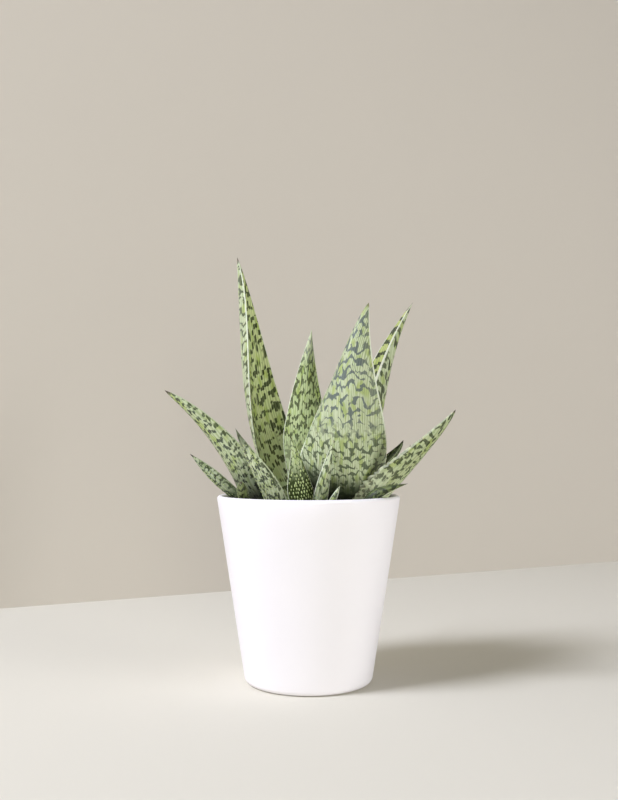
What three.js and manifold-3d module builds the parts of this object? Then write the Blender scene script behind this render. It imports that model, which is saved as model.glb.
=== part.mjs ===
// A delta lights aloe in a plain white tapered pot: a clump of four short stems, each with its own
// thick, channelled, toothed leaves, standing in soil. Millimetres, +Z up, the front looks along -Y.
// The origin is the centre of the flat base that the pot stands on.
import * as THREE from "three";
import Module from "manifold-3d";
import { mergeVertices } from "three/addons/utils/BufferGeometryUtils.js";

const wasm = await Module();
wasm.setup();

// Pot
const potHeight = 119;
const rimRadius = 59.4; // widest, just under the rounded lip
const baseRadius = 40.8;
const wall = 4;
const floorThickness = 5;
const footRounding = 4;
const potSides = 48;

// Soil and stems
const gap = 0.3; // clearance between touching pieces
const leafClearance = 0.4; // between two leaves that press together
const soilHeight = 106;
const soilDome = 1.5; // how much higher the soil lies in the middle
const stemDepth = 20; // how far a stem stands in the soil
const stemSides = 20;
const stems = {
  stem_main: { at: [8, 6], radius: 8, top: 112 },
  stem_left: { at: [-28, -9], radius: 5.5, top: 110 },
  stem_right: { at: [33, -3], radius: 5.5, top: 110 },
  stem_front: { at: [3, -35], radius: 4.5, top: 109 },
};

// Leaves. The midrib is a Bezier curve from root to tip with the handles low and high. width is the
// full width, reached at the fraction widest of the length; shoulder and point shape the taper above
// it, and neck is the share of the width left at the root. thick is the midrib's thickness, channel
// the depth of the inner face's hollow as a share of the half width. faces is the compass angle, at
// root and tip, that the inner face looks towards. beads is the height of the beads on a young
// leaf's outer face.
const leaves = {
  leaf_tall: {
    stem: "stem_main", root: [2, 11, 107], low: [-39, 18, 143], high: [-34, 25, 227], tip: [-50, 34, 283],
    width: 31, widest: 0.3, shoulder: 1.75, point: 1.02, neck: 0.6, thick: 7, channel: 0.6, faces: [-73, -8],
  },
  leaf_middle: {
    stem: "stem_main", root: [2, -1, 107], low: [-2, -9, 139], high: [-4, -12, 183], tip: [2, -14, 226],
    width: 30, widest: 0.45, shoulder: 1.2, point: 1.08, neck: 0.5, thick: 6, channel: 0.27, faces: [82, 93],
  },
  leaf_broad: {
    stem: "stem_main", root: [14, -3, 107], low: [30, -28, 147], high: [18, -34, 178], tip: [38, -27, 241],
    width: 55, widest: 0.29, shoulder: 1.34, point: 0.89, neck: 0.35, thick: 12, channel: 0.48, faces: [118, 38],
  },
  leaf_right_back: {
    stem: "stem_main", root: [15, 10, 107], low: [34, 14, 150], high: [40, 20, 202], tip: [72, 26, 250],
    width: 42, widest: 0.36, shoulder: 1.23, point: 1.16, neck: 0.4, thick: 7, channel: 0.66, faces: [198, 196],
  },
  leaf_long_left: {
    stem: "stem_left", root: [-31, -4, 107], low: [-37, 3, 135], high: [-67, 5, 171], tip: [-96, 8, 188],
    width: 24, widest: 0.22, shoulder: 1.23, point: 0.89, neck: 0.6, thick: 6, channel: 0.38, faces: [53, 21],
  },
  leaf_left_front: {
    stem: "stem_left", root: [-23, -12, 107], low: [-12, -19, 114], high: [-36, -22, 140], tip: [-46, -24, 162],
    width: 19, widest: 0.2, shoulder: 1.8, point: 1.15, neck: 0.6, thick: 5, channel: 0.3, faces: [40, 50],
  },
  leaf_left_low: {
    stem: "stem_left", root: [-31, -11, 107], low: [-56, -15, 127], high: [-65, -17, 137], tip: [-75, -20, 146],
    width: 8, widest: 0.44, shoulder: 1.75, point: 1.2, neck: 0.6, thick: 4, channel: 0.3, faces: [61, 61],
  },
  leaf_left_bud: {
    stem: "stem_left", root: [-31, -14, 108], low: [-44, -30, 115], high: [-40, -33, 126], tip: [-42, -35, 129],
    width: 7, widest: 0.6, shoulder: 1.8, point: 0.8, neck: 0.6, thick: 4, channel: 0.2, faces: [90, 90],
  },
  leaf_front_centre: {
    stem: "stem_front", root: [0, -35, 107], low: [-8, -37, 125], high: [-5, -39, 139], tip: [-11, -42, 157],
    width: 16, widest: 0.32, shoulder: 1.25, point: 1.1, neck: 0.7, thick: 5, channel: 0.2, faces: [98, 90],
    beads: 0.5,
  },
  leaf_front_narrow: {
    stem: "stem_front", root: [7, -34, 107], low: [5, -41, 121], high: [14, -46, 143], tip: [14, -40, 152],
    width: 9, widest: 0.22, shoulder: 1.37, point: 0.83, neck: 0.7, thick: 4, channel: 0.2, faces: [94, 98],
    beads: 0.35,
  },
  leaf_front_tiny: {
    stem: "stem_front", root: [6, -37, 108], low: [14, -45, 114], high: [16, -47, 122], tip: [19, -47, 127],
    width: 4, widest: 0.5, shoulder: 1.6, point: 1.1, neck: 0.7, thick: 2.5, channel: 0.2, faces: [90, 90],
  },
  leaf_right_low: {
    stem: "stem_right", root: [28.5, -9, 107], low: [39.5, -28.5, 122], high: [69, -35, 148], tip: [90, -40, 173],
    width: 26, widest: 0.16, shoulder: 1.33, point: 0.83, neck: 0.5, thick: 6, channel: 0.34, faces: [123, 158],
  },
  leaf_right_lowest: {
    stem: "stem_right", root: [36, -30, 107], low: [32, -33.5, 120], high: [45, -32.5, 123.5], tip: [60.7, -39, 128],
    width: 7, widest: 0.5, shoulder: 1.5, point: 1.1, neck: 0.6, thick: 3, channel: 0.25, faces: [105, 110],
  },
  leaf_right_dark: {
    stem: "stem_right", root: [35, 1, 107], low: [35, 10, 135], high: [58, 16, 142], tip: [64, 18, 155],
    width: 14, widest: 0.32, shoulder: 1.73, point: 1.03, neck: 0.6, thick: 4, channel: 0.3, faces: [205, 206],
  },
  leaf_right_small: {
    stem: "stem_right", root: [38, 0, 107], low: [52, 8, 122], high: [64, 11, 138], tip: [68, 12, 152],
    width: 10, widest: 0.3, shoulder: 1.6, point: 1.1, neck: 0.6, thick: 3.5, channel: 0.3, faces: [180, 180],
  },
  leaf_back: {
    stem: "stem_main", root: [7, 15, 107], low: [2, 50, 130], high: [0, 52, 166], tip: [-2, 72, 194],
    width: 30, widest: 0.3, shoulder: 1.5, point: 1.05, neck: 0.45, thick: 7, channel: 0.4, faces: [268, 262],
  },
  leaf_back_left: {
    stem: "stem_left", root: [-27, -2, 107], low: [-26, 32, 116], high: [-46, 42, 136], tip: [-60, 52, 155],
    width: 20, widest: 0.3, shoulder: 1.5, point: 1.05, neck: 0.5, thick: 5, channel: 0.35, faces: [285, 295],
  },
  leaf_back_right: {
    stem: "stem_right", root: [31, 3, 107], low: [22, 36, 114], high: [34, 48, 140], tip: [42, 60, 156],
    width: 18, widest: 0.3, shoulder: 1.5, point: 1.05, neck: 0.5, thick: 5, channel: 0.35, faces: [255, 250],
  },
  leaf_heart: {
    stem: "stem_main", root: [8, 6, 110], low: [6, 6, 130], high: [11, 5, 152], tip: [10, 4, 176],
    width: 13, widest: 0.3, shoulder: 1.5, point: 1.1, neck: 0.7, thick: 4, channel: 0.4, faces: [60, 60],
  },
};

// Leaf mesh
const stationSpacing = 6; // between cross-sections along a leaf
const teethPerStep = 2; // marginal teeth between two cross-sections
const toothHeight = 0.7;
const beadSpacing = 1.7; // between a beaded leaf's cross-sections: every other one carries beads
const beadedPoints = [0.88, 0.7, 0.53, 0.36, 0.18, 0, -0.18, -0.36, -0.53, -0.7, -0.88];
const innerPoints = [-0.6, 0, 0.6]; // across the inner face, as shares of the half width
const outerPoints = [0.82, 0.45, 0, -0.45, -0.82]; // back across the outer face
const outerFullness = 2.2; // how square the outer face's bulge is
const tipFinish = 0.97; // the last cross-section before the tip point

const vec = (point) => new THREE.Vector3(...point);

function halfWidthAt(leaf, t) {
  const half = leaf.width / 2;
  if (t < leaf.widest) {
    return half * (leaf.neck + (1 - leaf.neck) * Math.sin((Math.PI / 2) * (t / leaf.widest)));
  }
  const q = (t - leaf.widest) / (1 - leaf.widest);
  return half * (1 - q ** leaf.shoulder) ** leaf.point;
}

// The cross-section at t, larger by extra all round: its centre, its directions across and inwards,
// and its depths.
function sectionAt(leaf, midrib, t, extra) {
  const centre = midrib.getPoint(t);
  const along = midrib.getTangent(t);
  const angle = THREE.MathUtils.degToRad(THREE.MathUtils.lerp(leaf.faces[0], leaf.faces[1], t));
  const inward = new THREE.Vector3(Math.cos(angle), Math.sin(angle), 0);
  inward.addScaledVector(along, -inward.dot(along)).normalize();
  const across = new THREE.Vector3().crossVectors(along, inward);
  const half = halfWidthAt(leaf, t);
  const hollow = leaf.channel * half;
  const thick = leaf.thick * (half / (leaf.width / 2)) ** 0.8;
  return { centre, across, inward, half: half + extra, hollow, thick, extra, edge: 2 * leaf.channel * extra };
}

function pointOf(section, share, depth) {
  return section.centre
    .clone()
    .addScaledVector(section.across, section.half * share)
    .addScaledVector(section.inward, depth + section.hollow / 2);
}

const innerDepth = (section, share) => section.extra - section.hollow * (1 - share * share);
const outerDepth = (section, share) =>
  -section.extra - (section.hollow + section.thick) * (1 - Math.abs(share) ** outerFullness);

function toothPoint(section, side, height) {
  return pointOf(section, side, section.edge).addScaledVector(section.across, side * height);
}

// Fills the strip from a fine margin line to the coarse column of points beside it.
function fillMargin(faces, fine, columnStart, columnEnd, flip) {
  const middle = Math.floor((fine.length - 1) / 2);
  const add = (a, b, c) => faces.push(...(flip ? [a, c, b] : [a, b, c]));
  for (let i = 0; i < fine.length - 1; i++) {
    add(fine[i], fine[i + 1], i < middle ? columnStart : columnEnd);
  }
  add(columnStart, fine[middle], columnEnd);
}

function leafGeometry(leaf, extra = 0) {
  const midrib = new THREE.CubicBezierCurve3(vec(leaf.root), vec(leaf.low), vec(leaf.high), vec(leaf.tip));
  const spacing = leaf.beads ? beadSpacing : stationSpacing;
  const steps = Math.max(5, Math.round(midrib.getLength() / spacing));
  const teeth = leaf.beads ? 1 : teethPerStep;
  const shares = leaf.beads ? beadedPoints : outerPoints;
  const points = [];
  const faces = [];
  const addPoint = (point) => points.push(point) - 1;
  const stations = [];
  for (let i = 0; i <= steps; i++) {
    const section = sectionAt(leaf, midrib, (tipFinish * i) / steps, extra);
    stations.push({
      inner: innerPoints.map((share) => addPoint(pointOf(section, share, innerDepth(section, share)))),
      outer: shares.map((share, k) => {
        const bead = leaf.beads && i % 2 && k % 2 ? leaf.beads * Math.min(1, section.half / 4) : 0;
        return addPoint(pointOf(section, share, outerDepth(section, share) - bead));
      }),
      right: addPoint(pointOf(section, 1, section.edge)),
      left: addPoint(pointOf(section, -1, section.edge)),
    });
  }
  const quad = (a, b, c, d) => faces.push(a, b, c, a, c, d);
  const marginLine = (i, side, start, end) => {
    const line = [start];
    for (let k = 1; k < 2 * teeth; k++) {
      const t = (tipFinish * (i + k / (2 * teeth))) / steps;
      const height = k % 2 ? toothHeight * (1 - t * 0.6) : 0;
      line.push(addPoint(toothPoint(sectionAt(leaf, midrib, t, extra), side, height)));
    }
    return [...line, end];
  };
  for (let i = 0; i < steps; i++) {
    const a = stations[i];
    const b = stations[i + 1];
    for (let k = 0; k < innerPoints.length - 1; k++) {
      quad(a.inner[k], a.inner[k + 1], b.inner[k + 1], b.inner[k]);
    }
    for (let k = 0; k < shares.length - 1; k++) {
      quad(a.outer[k], a.outer[k + 1], b.outer[k + 1], b.outer[k]);
    }
    const right = marginLine(i, 1, a.right, b.right);
    fillMargin(faces, right, a.inner.at(-1), b.inner.at(-1), false);
    fillMargin(faces, right, a.outer[0], b.outer[0], true);
    const left = marginLine(i, -1, a.left, b.left);
    fillMargin(faces, left, a.inner[0], b.inner[0], true);
    fillMargin(faces, left, a.outer.at(-1), b.outer.at(-1), false);
  }
  const ringOf = (s) => [s.left, ...s.inner, s.right, ...s.outer];
  const tip = addPoint(midrib.getPoint(1));
  const last = ringOf(stations[steps]);
  last.forEach((a, k) => faces.push(a, last[(k + 1) % last.length], tip));
  const first = ringOf(stations[0]);
  const root = sectionAt(leaf, midrib, 0, extra);
  const outline = [-1, ...innerPoints, 1, ...shares].map((share, k) => {
    const depth = k > innerPoints.length ? outerDepth(root, share) : innerDepth(root, share);
    return new THREE.Vector2(root.half * share, k === innerPoints.length + 1 ? 0 : depth);
  });
  for (const [a, b, c] of THREE.ShapeUtils.triangulateShape(outline, [])) {
    faces.push(first[a], first[b], first[c]);
  }
  return new THREE.BufferGeometry().setFromPoints(points).setIndex(faces);
}

// Solids
function solidOf(geometry) {
  const bare = geometry.clone();
  bare.deleteAttribute("normal");
  bare.deleteAttribute("uv");
  const merged = mergeVertices(bare, 1e-4);
  return new wasm.Manifold(
    new wasm.Mesh({
      numProp: 3,
      vertProperties: merged.attributes.position.array,
      triVerts: new Uint32Array(merged.index.array),
    }),
  );
}

function geometryOf(solid) {
  const mesh = solid.getMesh();
  const geometry = new THREE.BufferGeometry();
  geometry.setAttribute("position", new THREE.BufferAttribute(mesh.vertProperties, 3));
  geometry.setIndex(new THREE.BufferAttribute(mesh.triVerts, 1));
  geometry.computeVertexNormals();
  return geometry;
}

const largestBody = (solid) =>
  solid.decompose().reduce((best, body) => (body.volume() > best.volume() ? body : best));

// Pot: a tapered shell with a rounded lip, a rounded foot corner and a flat underside
function radiusAt(height) {
  return baseRadius + ((rimRadius - baseRadius) * height) / potHeight;
}

function arcPoints(x, y, radius, from, to, count) {
  const points = [];
  for (let i = 0; i <= count; i++) {
    const angle = THREE.MathUtils.degToRad(from + ((to - from) * i) / count);
    points.push(new THREE.Vector2(x + radius * Math.cos(angle), y + radius * Math.sin(angle)));
  }
  return points;
}

function potGeometry() {
  const lip = wall / 2;
  const profile = [
    new THREE.Vector2(0, 0),
    ...arcPoints(radiusAt(footRounding) - footRounding, footRounding, footRounding, -90, 0, 6),
    ...arcPoints(rimRadius - lip, potHeight - lip, lip, 0, 180, 10),
    new THREE.Vector2(radiusAt(floorThickness) - wall, floorThickness),
    new THREE.Vector2(0, floorThickness),
  ];
  return new THREE.LatheGeometry(profile, potSides).rotateX(Math.PI / 2);
}

// Soil: fills the pot, a little higher in the middle, with a plain hole for each stem
function soilGeometry() {
  const bottom = floorThickness + gap;
  const inset = wall + gap + 0.1;
  const profile = [
    new THREE.Vector2(0, bottom),
    new THREE.Vector2(radiusAt(bottom) - inset, bottom),
    new THREE.Vector2(radiusAt(soilHeight) - inset, soilHeight - soilDome),
    new THREE.Vector2(rimRadius / 2, soilHeight),
    new THREE.Vector2(0, soilHeight),
  ];
  let soil = solidOf(new THREE.LatheGeometry(profile, potSides).rotateX(Math.PI / 2));
  for (const stem of Object.values(stems)) {
    soil = soil.subtract(solidOf(stemGeometry(stem, gap)));
  }
  return geometryOf(soil);
}

// Stem: a short round stump with a domed top
function stemGeometry({ at, radius, top }, extra = 0) {
  const r = radius + extra;
  const profile = [
    new THREE.Vector2(0, soilHeight - stemDepth - extra),
    new THREE.Vector2(r, soilHeight - stemDepth - extra),
    new THREE.Vector2(r, top - radius / 2 + extra),
    new THREE.Vector2(r * 0.7, top - radius / 6 + extra),
    new THREE.Vector2(0, top + extra),
  ];
  return new THREE.LatheGeometry(profile, stemSides).rotateX(Math.PI / 2).translate(at[0], at[1], 0);
}

// A leaf stops short of the soil, of its stem and of the leaves that were placed before it.
function ground() {
  const reach = rimRadius * 2;
  const slab = new THREE.BoxGeometry(reach, reach, soilHeight);
  return solidOf(slab.translate(0, 0, soilHeight / 2 + gap));
}

function leafSolids() {
  const obstacles = [ground(), ...Object.values(stems).map((stem) => solidOf(stemGeometry(stem, gap)))];
  const solids = {};
  for (const [name, leaf] of Object.entries(leaves)) {
    let solid = solidOf(leafGeometry(leaf));
    for (const obstacle of obstacles) {
      if (solid.intersect(obstacle).volume() > 0) {
        solid = largestBody(solid.subtract(obstacle));
      }
    }
    solids[name] = solid;
    obstacles.push(solidOf(leafGeometry(leaf, leafClearance)));
  }
  return solids;
}

// Materials
const surface = (color, roughness) => new THREE.MeshStandardMaterial({ color, roughness, metalness: 0 });
const glaze = surface("#f2efec", 0.3);
const darkSoil = surface("#2e241b", 0.95);
const stemGreen = surface("#8d9a62", 0.6);
const leafGreen = surface("#a3b778", 0.45);

function piece(name, geometry, material) {
  const mesh = new THREE.Mesh(geometry, material);
  mesh.name = name;
  return mesh;
}

const plant = new THREE.Group();
plant.add(piece("pot", potGeometry(), glaze));
plant.add(piece("soil", soilGeometry(), darkSoil));
for (const [name, stem] of Object.entries(stems)) {
  plant.add(piece(name, stemGeometry(stem), stemGreen));
}
for (const [name, solid] of Object.entries(leafSolids())) {
  plant.add(piece(name, geometryOf(solid), leafGreen));
}

export default plant;
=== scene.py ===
import math
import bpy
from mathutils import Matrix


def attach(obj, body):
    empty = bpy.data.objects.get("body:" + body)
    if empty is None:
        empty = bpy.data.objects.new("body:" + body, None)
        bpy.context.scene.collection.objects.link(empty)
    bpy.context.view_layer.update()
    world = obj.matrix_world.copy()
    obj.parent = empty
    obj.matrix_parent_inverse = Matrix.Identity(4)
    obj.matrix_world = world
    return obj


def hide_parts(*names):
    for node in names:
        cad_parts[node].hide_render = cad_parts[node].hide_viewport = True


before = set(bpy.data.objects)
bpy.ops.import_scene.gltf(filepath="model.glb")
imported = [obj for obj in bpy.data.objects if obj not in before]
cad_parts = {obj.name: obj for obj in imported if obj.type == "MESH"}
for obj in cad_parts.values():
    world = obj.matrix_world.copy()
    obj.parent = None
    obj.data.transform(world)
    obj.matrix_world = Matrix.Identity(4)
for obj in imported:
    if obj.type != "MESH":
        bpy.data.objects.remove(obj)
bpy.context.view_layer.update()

from types import SimpleNamespace

import bpy
from mathutils import Vector, noise

body = "root"
mm = 0.001  # sizes below are in millimetres, the scene is in metres
fullTurn = 2 * math.pi
scene = bpy.context.scene
scene.view_settings.view_transform = "Standard"
print("frame loaded:", len(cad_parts), "nodes")


# Node trees: a Signal is an output socket that can stand in a sum, Wiring adds nodes to one tree

def colour(code):
    channels = [int(code[i:i + 2], 16) / 255 for i in (0, 2, 4)]
    return [c / 12.92 if c <= 0.04045 else ((c + 0.055) / 1.055) ** 2.4 for c in channels] + [1.0]


def socketName(key):
    return "".join(" " + letter if letter.isupper() else letter for letter in key).title()


class Signal:
    def __init__(self, wiring, socket):
        self.wiring, self.socket = wiring, socket

    def __add__(self, other):
        return self.wiring.calc("ADD", self, other)

    def __radd__(self, other):
        return self.wiring.calc("ADD", other, self)

    def __sub__(self, other):
        return self.wiring.calc("SUBTRACT", self, other)

    def __rsub__(self, other):
        return self.wiring.calc("SUBTRACT", other, self)

    def __mul__(self, other):
        return self.wiring.calc("MULTIPLY", self, other)

    def __rmul__(self, other):
        return self.wiring.calc("MULTIPLY", other, self)

    def __truediv__(self, other):
        return self.wiring.calc("DIVIDE", self, other)


class Wiring:
    def __init__(self, tree):
        self.tree = tree

    def put(self, value, socket):
        if isinstance(value, Signal):
            self.tree.links.new(value.socket, socket)
        else:
            socket.default_value = value

    def add(self, kind, inputs=None, **settings):
        made = self.tree.nodes.new(kind)
        for name, value in settings.items():
            setattr(made, name, value)
        for name, value in (inputs or {}).items():
            self.put(value, made.inputs[name])
        return made

    def out(self, kind, inputs=None, output=0, **settings):  # adds a node and gives one of its outputs
        return Signal(self, self.add(kind, inputs, **settings).outputs[output])

    def geo(self, kind, inputs=None, output=0, **settings):
        return self.out("GeometryNode" + kind, inputs, output, **settings)

    def calc(self, operation, *values):
        return self.out("ShaderNodeMath", dict(enumerate(values)), operation=operation)

    def vector(self, operation, *values, output="Vector"):
        return self.out("ShaderNodeVectorMath", dict(enumerate(values)), output, operation=operation)

    def scaled(self, value, scale):
        return self.out("ShaderNodeVectorMath", {0: value, "Scale": scale}, operation="SCALE")

    def sumOf(self, *vectors):
        total = vectors[0]
        for other in vectors[1:]:
            total = self.vector("ADD", total, other)
        return total

    def xyz(self, x, y, z=0.0):
        return self.out("ShaderNodeCombineXYZ", {"X": x, "Y": y, "Z": z})

    def split(self, value):
        made = self.add("ShaderNodeSeparateXYZ", {"Vector": value})
        return [Signal(self, socket) for socket in made.outputs]

    def objectPlace(self):
        return self.out("ShaderNodeTexCoord", output="Object")

    def attribute(self, name, output="Vector"):
        return self.out("ShaderNodeAttribute", output=output, attribute_name=name)

    def noiseAt(self, place, scale=1.0, detail=0.0, roughness=0.5):
        sockets = {"Vector": place, "Scale": scale, "Detail": detail, "Roughness": roughness}
        return self.out("ShaderNodeTexNoise", sockets)

    def ramp(self, value, low, high, start=0.0, end=1.0):
        sockets = {"Value": value, "From Min": low, "From Max": high, "To Min": start, "To Max": end}
        return self.out("ShaderNodeMapRange", sockets, "Result", interpolation_type="SMOOTHSTEP")

    def mix(self, share, a, b):
        return self.out("ShaderNodeMix", {0: share, 6: a, 7: b}, 2, data_type="RGBA")

    def bump(self, height, strength, distance):
        return self.out("ShaderNodeBump", {"Height": height, "Strength": strength, "Distance": distance})


# A socket is given with its start value, or with its kind where it has none
def newTree(name, kind, inputs, outputs):
    tree = bpy.data.node_groups.new(name, kind)
    for way, sockets in (("INPUT", inputs), ("OUTPUT", outputs)):
        for key, start in sockets.items():
            isKind = isinstance(start, str)
            ending = start if isKind else "Int" if isinstance(start, int) else "Float"
            socket = tree.interface.new_socket(
                socketName(key), in_out=way, socket_type="NodeSocket" + ending)
            if not isKind:
                socket.default_value = start
    w = Wiring(tree)
    sources = tree.nodes.new("NodeGroupInput").outputs
    given = SimpleNamespace(**{key: Signal(w, sources[socketName(key)]) for key in inputs})
    return w, given, tree.nodes.new("NodeGroupOutput").inputs


def addGroup(w, tree, **values):
    made = w.add("ShaderNodeGroup", node_tree=tree)
    for key, value in values.items():
        w.put(value, made.inputs[socketName(key)])
    return [Signal(w, socket) for socket in made.outputs]


def newMaterial(name, settings=None):
    material = bpy.data.materials.new(name)
    material.use_nodes = True
    shader = material.node_tree.nodes["Principled BSDF"].inputs
    for key, value in (settings or {}).items():
        shader[key].default_value = value
    return material, Wiring(material.node_tree), shader


# Shared shading effects of the leaves. Across and Along are millimetres on the leaf's own surface

def makeMarksGroup():
    w, given, result = newTree("leafMarks", "ShaderNodeTree", dict(
        across=0.0, along=0.0, seed=0.0, rowGap=6.0, crowding=0.0,
        cellAcross=3.0, cellAlong=2.0, ragged=1.0, column=1.15, stepped=0.0, groove=0.1, slant=0.0,
        archWidth=9.0, archHeight=3.0, blobAcross=6.0, blobAlong=8.0,
        rows=0.5, cells=1.0, blobs=0.0, threshold=0.5, softness=0.15), {"mask": "Float"})
    gain = 4.0  # spreads noise round 0.5 to about -1 to 1
    crowdReach = 25.0  # rows lie closer this near the root

    def cloudAt(perAcross, perAlong, seedStep):
        return w.noiseAt(w.xyz(given.across * perAcross, given.along * perAlong, given.seed + seedStep))

    # Columns between the veins, with a groove at their sides
    column = given.across / given.column + (cloudAt(0.15, 0.04, 3.0) - 0.5) * 0.8
    whole = w.calc("FLOOR", column)
    middle = (whole + 0.5) * given.column
    stepped = given.across + (middle - given.across) * given.stepped
    offCentre = w.calc("ABSOLUTE", (column - whole) * 2.0 - 1.0)
    groove = w.calc("POWER", offCentre, 3.0) * given.groove

    # Wavy rows, pushed along the leaf column by column
    fine = w.noiseAt(w.xyz(whole * 0.73, given.along * 0.05, given.seed), detail=0.3)
    ragged = (fine - 0.5) * gain * given.ragged
    sway = (cloudAt(0.09, 0.05, 5.0) - 0.5) * 0.8 * given.rowGap
    turn = (given.across / given.archWidth + cloudAt(0.05, 0.11, 7.0)) * math.pi
    arch = w.calc("ABSOLUTE", w.calc("COSINE", turn)) * given.archHeight
    fromRoot = 1.0 - w.calc("EXPONENT", given.along / -crowdReach)
    crowded = given.crowding * given.rowGap * fromRoot
    along = given.along + ragged + sway + crowded + given.across * given.slant - arch
    rows = w.calc("COSINE", along / given.rowGap * fullTurn)

    # Rows, broken cells and rounded blobs together
    cellPlace = w.xyz(stepped / given.cellAcross, along / given.cellAlong, given.seed + 11.0)
    cells = w.noiseAt(cellPlace, detail=0.6)
    blobPlace = w.xyz(given.across / given.blobAcross + given.seed, along / given.blobAlong)
    blobs = w.out("ShaderNodeTexVoronoi", {"Vector": blobPlace, "Scale": 1.0, "Randomness": 0.8},
                  "Distance", voronoi_dimensions="2D")
    broken = (cells - 0.5) * gain * given.cells
    field = rows * given.rows + broken + (blobs - 0.5) * gain * given.blobs - groove
    mask = w.ramp(field, given.threshold - given.softness, given.threshold + given.softness)
    w.put(mask, result["Mask"])
    return w.tree


def makeVeinsGroup():
    w, given, result = newTree(
        "leafVeins", "ShaderNodeTree", dict(across=0.0, along=0.0, seed=0.0, veinGap=1.15), {"mask": "Float"})
    wander = w.noiseAt(w.xyz(given.across * 0.3, given.along * 0.03, given.seed))
    turn = given.across / given.veinGap * fullTurn + wander * 9.0
    stripes = 0.5 + w.calc("SINE", turn) * 0.5
    streaks = w.noiseAt(w.xyz(given.across * 1.3, given.along * 0.07, given.seed))
    w.put(stripes * w.ramp(streaks, 0.3, 0.6, 0.45, 1.0), result["Mask"])
    return w.tree


def makeFlecksGroup():
    w, given, result = newTree("paleFlecks", "ShaderNodeTree", dict(
        across=0.0, along=0.0, seed=0.0, gapAcross=1.4, gapAlong=2.4, size=0.3), {"mask": "Float"})
    place = w.xyz(given.across / given.gapAcross, given.along / given.gapAlong, given.seed)
    cells = w.out("ShaderNodeTexVoronoi", {"Vector": place, "Scale": 1.0, "Randomness": 0.7}, "Distance")
    w.put(w.ramp(cells, given.size, given.size * 0.5), result["Mask"])
    return w.tree


def makeEdgesGroup():
    w, given, result = newTree("leafEdges", "ShaderNodeTree", dict(
        along=0.0, toMargin=1.0, toTip=50.0, seed=0.0, marginWidth=0.8, tipLength=5.0),
        {"margin": "Float", "tip": "Float"})
    wobble = w.noiseAt(w.xyz(given.along * 0.5, given.seed), detail=1.0)
    width = given.marginWidth * (wobble + 0.5)
    w.put(w.ramp(given.toMargin, width * 1.15, width * 0.75), result["Margin"])
    w.put(w.ramp(given.toTip, given.tipLength, given.tipLength * 0.35), result["Tip"])
    return w.tree


marksGroup = makeMarksGroup()
veinsGroup = makeVeinsGroup()
flecksGroup = makeFlecksGroup()
edgesGroup = makeEdgesGroup()


# How the dark marks lie on a leaf, in millimetres; a leaf names one of these for each face
markStyles = {
    "broad": dict(
        rowGap=7.5, crowding=0.5, cellAcross=2.2, ragged=0.4, archWidth=8, archHeight=2.4, blobAcross=4.2,
        blobAlong=3.8, rows=0.35, cells=0.45, blobs=0.7, level=0.06, softness=0.2),
    "meshed": dict(
        rowGap=5, cellAcross=2.4, ragged=0.4, archWidth=5, archHeight=1.3, blobAcross=3.8, blobAlong=3.2,
        rows=0.15, cells=0.45, blobs=0.75, level=-0.07, softness=0.2),
    "inner": dict(
        rowGap=9, crowding=0.3, cellAcross=2.5, cellAlong=5, ragged=2.6, column=1.5, stepped=1, groove=0.2,
        slant=-0.4, archHeight=1, rows=0.45, cells=0.9, level=0.14),
    "streaked": dict(
        crowding=0.4, cellAcross=1.5, cellAlong=3, ragged=1.3, column=1.1, stepped=0.7, groove=0.25,
        archWidth=6, archHeight=1.6, blobAcross=2.5, blobAlong=4, rows=0.3, cells=0.75, blobs=0.3,
        level=0.02),
    "banded": dict(
        rowGap=8, crowding=0.2, cellAlong=4, ragged=1.4, column=1.4, stepped=0.8, slant=-0.3, archHeight=1,
        rows=0.8, cells=0.6, level=0.25),
    "long": dict(
        rowGap=6.5, crowding=0.6, cellAcross=1.5, cellAlong=3, ragged=1.4, stepped=0.6, groove=0.25,
        archWidth=6, archHeight=1.8, blobAcross=2.6, blobAlong=4, rows=0.3, cells=0.65, blobs=0.4,
        level=0.05),
    "fine": dict(
        rowGap=5, cellAcross=1.4, cellAlong=2.6, ragged=0.9, column=0.9, stepped=0.6, archWidth=3.5,
        archHeight=1, blobAcross=2, blobAlong=3.2, rows=0.25, cells=0.6, blobs=0.5, level=-0.05),
    "speckled": dict(
        rowGap=4, cellAcross=1.6, cellAlong=2.4, ragged=0.3, column=1, archWidth=3, archHeight=0.8,
        blobAcross=2.4, blobAlong=2.6, rows=0.15, cells=0.3, blobs=0.8, level=-0.05),
}

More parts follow.
